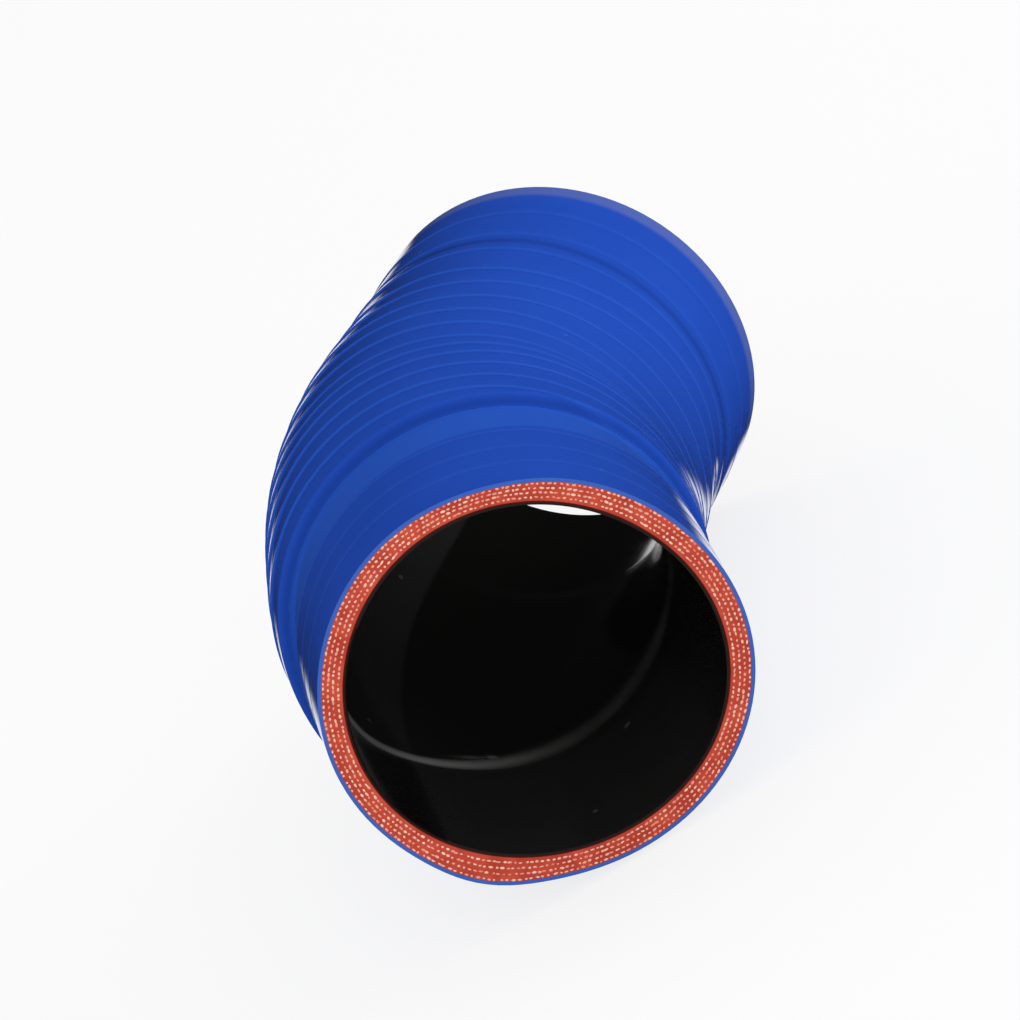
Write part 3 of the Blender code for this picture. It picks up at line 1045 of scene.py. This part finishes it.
def place_camera():
    back = Vector((
        math.sin(CAMERA_AZIMUTH) * math.cos(CAMERA_ELEVATION),
        -math.cos(CAMERA_AZIMUTH) * math.cos(CAMERA_ELEVATION),
        math.sin(CAMERA_ELEVATION),
    ))
    right = Vector((math.cos(CAMERA_AZIMUTH), math.sin(CAMERA_AZIMUTH), 0.0))
    place = back * CAMERA_DISTANCE
    look = (place - right * AIM_RIGHT - back.cross(right) * AIM_UP).normalized()
    level = Vector((0.0, 0.0, 1.0)).cross(look).normalized()
    above = look.cross(level)
    sideways = math.cos(CAMERA_ROLL) * level + math.sin(CAMERA_ROLL) * above
    upwards = look.cross(sideways)
    axes = Matrix((sideways, upwards, look)).transposed().to_4x4()
    data = bpy.data.cameras.new("camera")
    data.lens = LENS_MM
    data.sensor_width = SENSOR_MM
    camera = bpy.data.objects.new("camera", data)
    camera.matrix_world = hose_place @ Matrix.Translation(place) @ axes
    bpy.context.scene.collection.objects.link(camera)
    bpy.context.scene.camera = camera
    return camera


camera = place_camera()


# Floor, world and lamps
# A plain white floor in a dim room, with two soft boxes set round the camera's line of sight. A
# white backdrop beyond the hose shows in its gloss, and a small card shows as a glint in its bore.

FLOOR_SIZE = 4.0
FLOOR_GLOW = 0.8
ROOM_LEVEL = 0.012
ROOM_FILL = 0.85
BACKDROP_WHITE = math.radians(8)
BACKDROP_EDGE = math.radians(14)
CARD_PLACE = Vector((0.024, 0.1659, -0.0353))
CARD_WAY = Vector((0.0885, -0.9902, 0.1076))
CARD_SIZE = 0.0075


def white_floor():
    """The floor glows only where it is looked at, so it shows white and still takes a shadow."""
    bpy.ops.mesh.primitive_plane_add(size=FLOOR_SIZE)
    floor = bpy.context.object
    floor.name = "floor"
    material, tree, shader = new_material("white_floor", (0.9, 0.9, 0.9), roughness=0.9)
    glow = tree.nodes.new("ShaderNodeEmission")
    blend = tree.nodes.new("ShaderNodeMixShader")
    output = tree.nodes["Material Output"]
    tree.links.new(times(tree, seen_as_background(tree), FLOOR_GLOW), blend.inputs[0])
    tree.links.new(shader.outputs[0], blend.inputs[1])
    tree.links.new(glow.outputs[0], blend.inputs[2])
    tree.links.new(blend.outputs[0], output.inputs["Surface"])
    floor.data.materials.append(material)
    floor.visible_glossy = False


def seen_as_background(tree):
    """1 for the rays that show the background: the camera's own, reflected and transmitted ones."""
    path = tree.nodes.new("ShaderNodeLightPath")
    seen = calculate(tree, "MAXIMUM", path.outputs["Is Camera Ray"], path.outputs["Is Glossy Ray"])
    return calculate(tree, "MAXIMUM", seen, path.outputs["Is Transmission Ray"])


def white_card():
    """A small white card beyond the far mouth. It shows only as a glint inside the bore."""
    bpy.ops.mesh.primitive_plane_add(size=CARD_SIZE)
    card = bpy.context.object
    card.name = "card"
    turn = CARD_WAY.to_track_quat("Z", "Y").to_matrix().to_4x4()
    card.matrix_world = hose_place @ Matrix.Translation(CARD_PLACE) @ turn
    material, _, shader = new_material("white_card", (0.9, 0.9, 0.9), roughness=0.9)
    shader.inputs["Emission Color"].default_value = (1.0, 1.0, 1.0, 1.0)
    shader.inputs["Emission Strength"].default_value = 1.0
    card.data.materials.append(material)
    card.visible_camera = False
    card.visible_diffuse = False
    card.visible_shadow = False


def studio_room():
    """A dim room with a white backdrop beyond the hose. It also stands in for the floor in reflections."""
    world = bpy.data.worlds.new("room")
    world.use_nodes = True
    tree = world.node_tree
    room = tree.nodes["Background"]
    path = tree.nodes.new("ShaderNodeLightPath")
    way = tree.nodes.new("ShaderNodeVectorMath")
    way.operation = "DOT_PRODUCT"
    way.inputs[1].default_value = camera.matrix_world.to_3x3() @ Vector((0.0, 0.0, -1.0))
    tree.links.new(tree.nodes.new("ShaderNodeTexCoord").outputs["Generated"], way.inputs[0])
    backdrop = rise_between(
        tree, way.outputs["Value"], math.cos(BACKDROP_EDGE), math.cos(BACKDROP_WHITE)
    )
    backdrop = times(tree, seen_as_background(tree), backdrop)
    seen = calculate(tree, "MAXIMUM", path.outputs["Is Camera Ray"], backdrop)
    fill = times(tree, path.outputs["Is Diffuse Ray"], ROOM_FILL)
    level = add_up(tree, ROOM_LEVEL, times(tree, seen, 1.0 - ROOM_LEVEL), fill)
    room.inputs["Color"].default_value = (1.0, 1.0, 1.0, 1.0)
    tree.links.new(level, room.inputs["Strength"])
    bpy.context.scene.world = world


def soft_box(name, right, upward, back, size, power):
    """An area lamp that faces the hose, placed by the camera's own right, up and back."""
    data = bpy.data.lights.new(name, "AREA")
    data.shape = "SQUARE"
    data.size = size
    data.energy = power
    lamp = bpy.data.objects.new(name, data)
    axes = camera.matrix_world.to_3x3()
    way = axes @ Vector((right, upward, back))
    middle = (cad_low + cad_high) / 2
    lamp.location = middle + way
    lamp.rotation_euler = way.to_track_quat("Z", "Y").to_euler()
    lamp.visible_glossy = False
    bpy.context.scene.collection.objects.link(lamp)


white_floor()
white_card()
studio_room()
soft_box("right_box", right=0.9, upward=0.8, back=-0.2, size=0.8, power=8.5)
soft_box("front_box", right=0.1, upward=0.1, back=1.2, size=0.6, power=3.0)
bpy.context.scene.view_settings.view_transform = "Standard"
